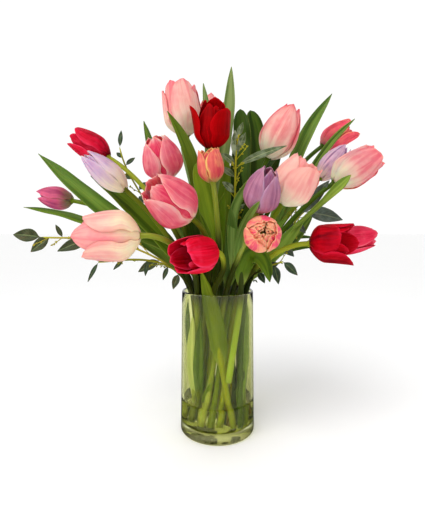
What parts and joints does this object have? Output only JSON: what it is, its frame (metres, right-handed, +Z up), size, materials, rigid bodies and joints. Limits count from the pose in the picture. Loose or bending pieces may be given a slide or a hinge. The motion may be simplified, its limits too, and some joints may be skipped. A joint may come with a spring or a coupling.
{
  "type": "tulips in a vase",
  "caption": "Bunch of mixed cut tulips with long leaves and sprays of eucalyptus, standing in a straight clear glass vase with a little water.",
  "frame": {"origin": "centre of the vase's flat underside", "axes": "+Z up along the vase's axis, -Y towards the viewer of the bunch's front, +X to that viewer's right"},
  "size_m": [0.502, 0.3065, 0.5251],
  "materials": {
    "blush_back_petals": "satin",
    "blush_back_green": "satin",
    "blush_left_petals": "satin",
    "blush_left_green": "satin",
    "blush_mid_petals": "satin",
    "blush_mid_green": "satin",
    "blush_right_petals": "satin",
    "blush_right_green": "satin",
    "blush_top_petals": "satin",
    "blush_top_green": "satin",
    "coral_centre_petals": "satin",
    "coral_centre_green": "satin",
    "coral_front_petals": "satin",
    "coral_front_green": "satin",
    "coral_right_petals": "satin",
    "coral_right_green": "satin",
    "eucalyptus_back_grey": "matte",
    "eucalyptus_centre_grey": "matte",
    "eucalyptus_left_grey": "matte",
    "eucalyptus_low_grey": "matte",
    "eucalyptus_right_grey": "matte",
    "eucalyptus_rim_grey": "matte",
    "eucalyptus_upper_grey": "matte",
    "lilac_left_petals": "satin",
    "lilac_left_green": "satin",
    "lilac_mid_petals": "satin",
    "lilac_mid_green": "satin",
    "lilac_right_petals": "satin",
    "lilac_right_green": "satin",
    "plum_left_petals": "satin",
    "plum_left_green": "satin",
    "red_far_petals": "satin",
    "red_far_green": "satin",
    "red_front_petals": "satin",
    "red_front_green": "satin",
    "red_left_petals": "satin",
    "red_left_green": "satin",
    "red_right_petals": "satin",
    "red_right_green": "satin",
    "red_top_petals": "satin",
    "red_top_green": "satin",
    "rose_front_petals": "satin",
    "rose_front_green": "satin",
    "rose_right_petals": "satin",
    "rose_right_green": "satin",
    "rose_upper_petals": "satin",
    "rose_upper_green": "satin",
    "vase_glass": "gloss",
    "water_clear": "gloss"
  },
  "bodies": {
    "root": {"blush_back_bloom": "blush_back_petals", "blush_back_stem": "blush_back_green", "blush_left_bloom": "blush_left_petals", "blush_left_stem": "blush_left_green", "blush_mid_bloom": "blush_mid_petals", "blush_mid_stem": "blush_mid_green", "blush_right_bloom": "blush_right_petals", "blush_right_stem": "blush_right_green", "blush_top_bloom": "blush_top_petals", "blush_top_stem": "blush_top_green", "coral_centre_bloom": "coral_centre_petals", "coral_centre_stem": "coral_centre_green", "coral_front_bloom": "coral_front_petals", "coral_front_stem": "coral_front_green", "coral_right_bloom": "coral_right_petals", "coral_right_stem": "coral_right_green", "eucalyptus_back": "eucalyptus_back_grey", "eucalyptus_centre": "eucalyptus_centre_grey", "eucalyptus_left": "eucalyptus_left_grey", "eucalyptus_low": "eucalyptus_low_grey", "eucalyptus_right": "eucalyptus_right_grey", "eucalyptus_rim": "eucalyptus_rim_grey", "eucalyptus_upper": "eucalyptus_upper_grey", "lilac_left_bloom": "lilac_left_petals", "lilac_left_stem": "lilac_left_green", "lilac_mid_bloom": "lilac_mid_petals", "lilac_mid_stem": "lilac_mid_green", "lilac_right_bloom": "lilac_right_petals", "lilac_right_stem": "lilac_right_green", "plum_left_bloom": "plum_left_petals", "plum_left_stem": "plum_left_green", "red_far_bloom": "red_far_petals", "red_far_stem": "red_far_green", "red_front_bloom": "red_front_petals", "red_front_stem": "red_front_green", "red_left_bloom": "red_left_petals", "red_left_stem": "red_left_green", "red_right_bloom": "red_right_petals", "red_right_stem": "red_right_green", "red_top_bloom": "red_top_petals", "red_top_stem": "red_top_green", "rose_front_bloom": "rose_front_petals", "rose_front_stem": "rose_front_green", "rose_right_bloom": "rose_right_petals", "rose_right_stem": "rose_right_green", "rose_upper_bloom": "rose_upper_petals", "rose_upper_stem": "rose_upper_green", "vase": "vase_glass", "water": "water_clear"}
  },
  "joints": []
}
